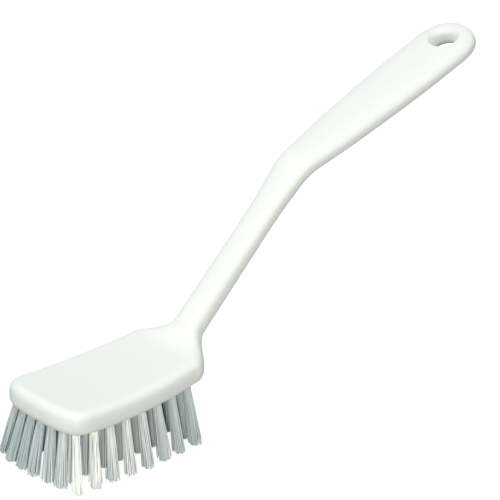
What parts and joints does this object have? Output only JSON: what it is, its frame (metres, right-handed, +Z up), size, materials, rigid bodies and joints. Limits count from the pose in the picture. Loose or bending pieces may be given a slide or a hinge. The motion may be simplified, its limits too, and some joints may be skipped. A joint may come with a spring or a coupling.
{
  "type": "hand brush",
  "caption": "Hand brush for washing up: a rounded block with flared tufts of stiff clear bristles, and a cranked one-piece handle that widens to a grip with a hang hole.",
  "frame": {"origin": "on the plane of the trimmed bristle tips, under the middle of the brush's overall length and width", "axes": "+X from the block's toe to the end of the handle, +Y to the block's left, +Z up from the bristle tips to the handle"},
  "size_m": [0.2784, 0.0614, 0.1609],
  "materials": {
    "white_plastic": "satin injection-moulded polypropylene",
    "clear_filament": "clear, slightly milky polyester filament"
  },
  "bodies": {
    "root": {"heel_tuft_1": "clear_filament", "heel_tuft_2": "clear_filament", "heel_tuft_3": "clear_filament", "heel_tuft_4": "clear_filament", "heel_tuft_5": "clear_filament", "left_inner_tuft_1": "clear_filament", "left_inner_tuft_2": "clear_filament", "left_inner_tuft_3": "clear_filament", "left_inner_tuft_4": "clear_filament", "left_inner_tuft_5": "clear_filament", "left_inner_tuft_6": "clear_filament", "left_tuft_1": "clear_filament", "left_tuft_2": "clear_filament", "left_tuft_3": "clear_filament", "left_tuft_4": "clear_filament", "left_tuft_5": "clear_filament", "left_tuft_6": "clear_filament", "left_tuft_7": "clear_filament", "middle_tuft_1": "clear_filament", "middle_tuft_2": "clear_filament", "middle_tuft_3": "clear_filament", "middle_tuft_4": "clear_filament", "middle_tuft_5": "clear_filament", "middle_tuft_6": "clear_filament", "moulding": "white_plastic", "right_inner_tuft_1": "clear_filament", "right_inner_tuft_2": "clear_filament", "right_inner_tuft_3": "clear_filament", "right_inner_tuft_4": "clear_filament", "right_inner_tuft_5": "clear_filament", "right_inner_tuft_6": "clear_filament", "right_tuft_1": "clear_filament", "right_tuft_2": "clear_filament", "right_tuft_3": "clear_filament", "right_tuft_4": "clear_filament", "right_tuft_5": "clear_filament", "right_tuft_6": "clear_filament", "right_tuft_7": "clear_filament", "toe_tuft_1": "clear_filament", "toe_tuft_2": "clear_filament", "toe_tuft_3": "clear_filament", "toe_tuft_4": "clear_filament", "toe_tuft_5": "clear_filament", "toe_tuft_6": "clear_filament", "toe_tuft_7": "clear_filament"}
  },
  "joints": []
}
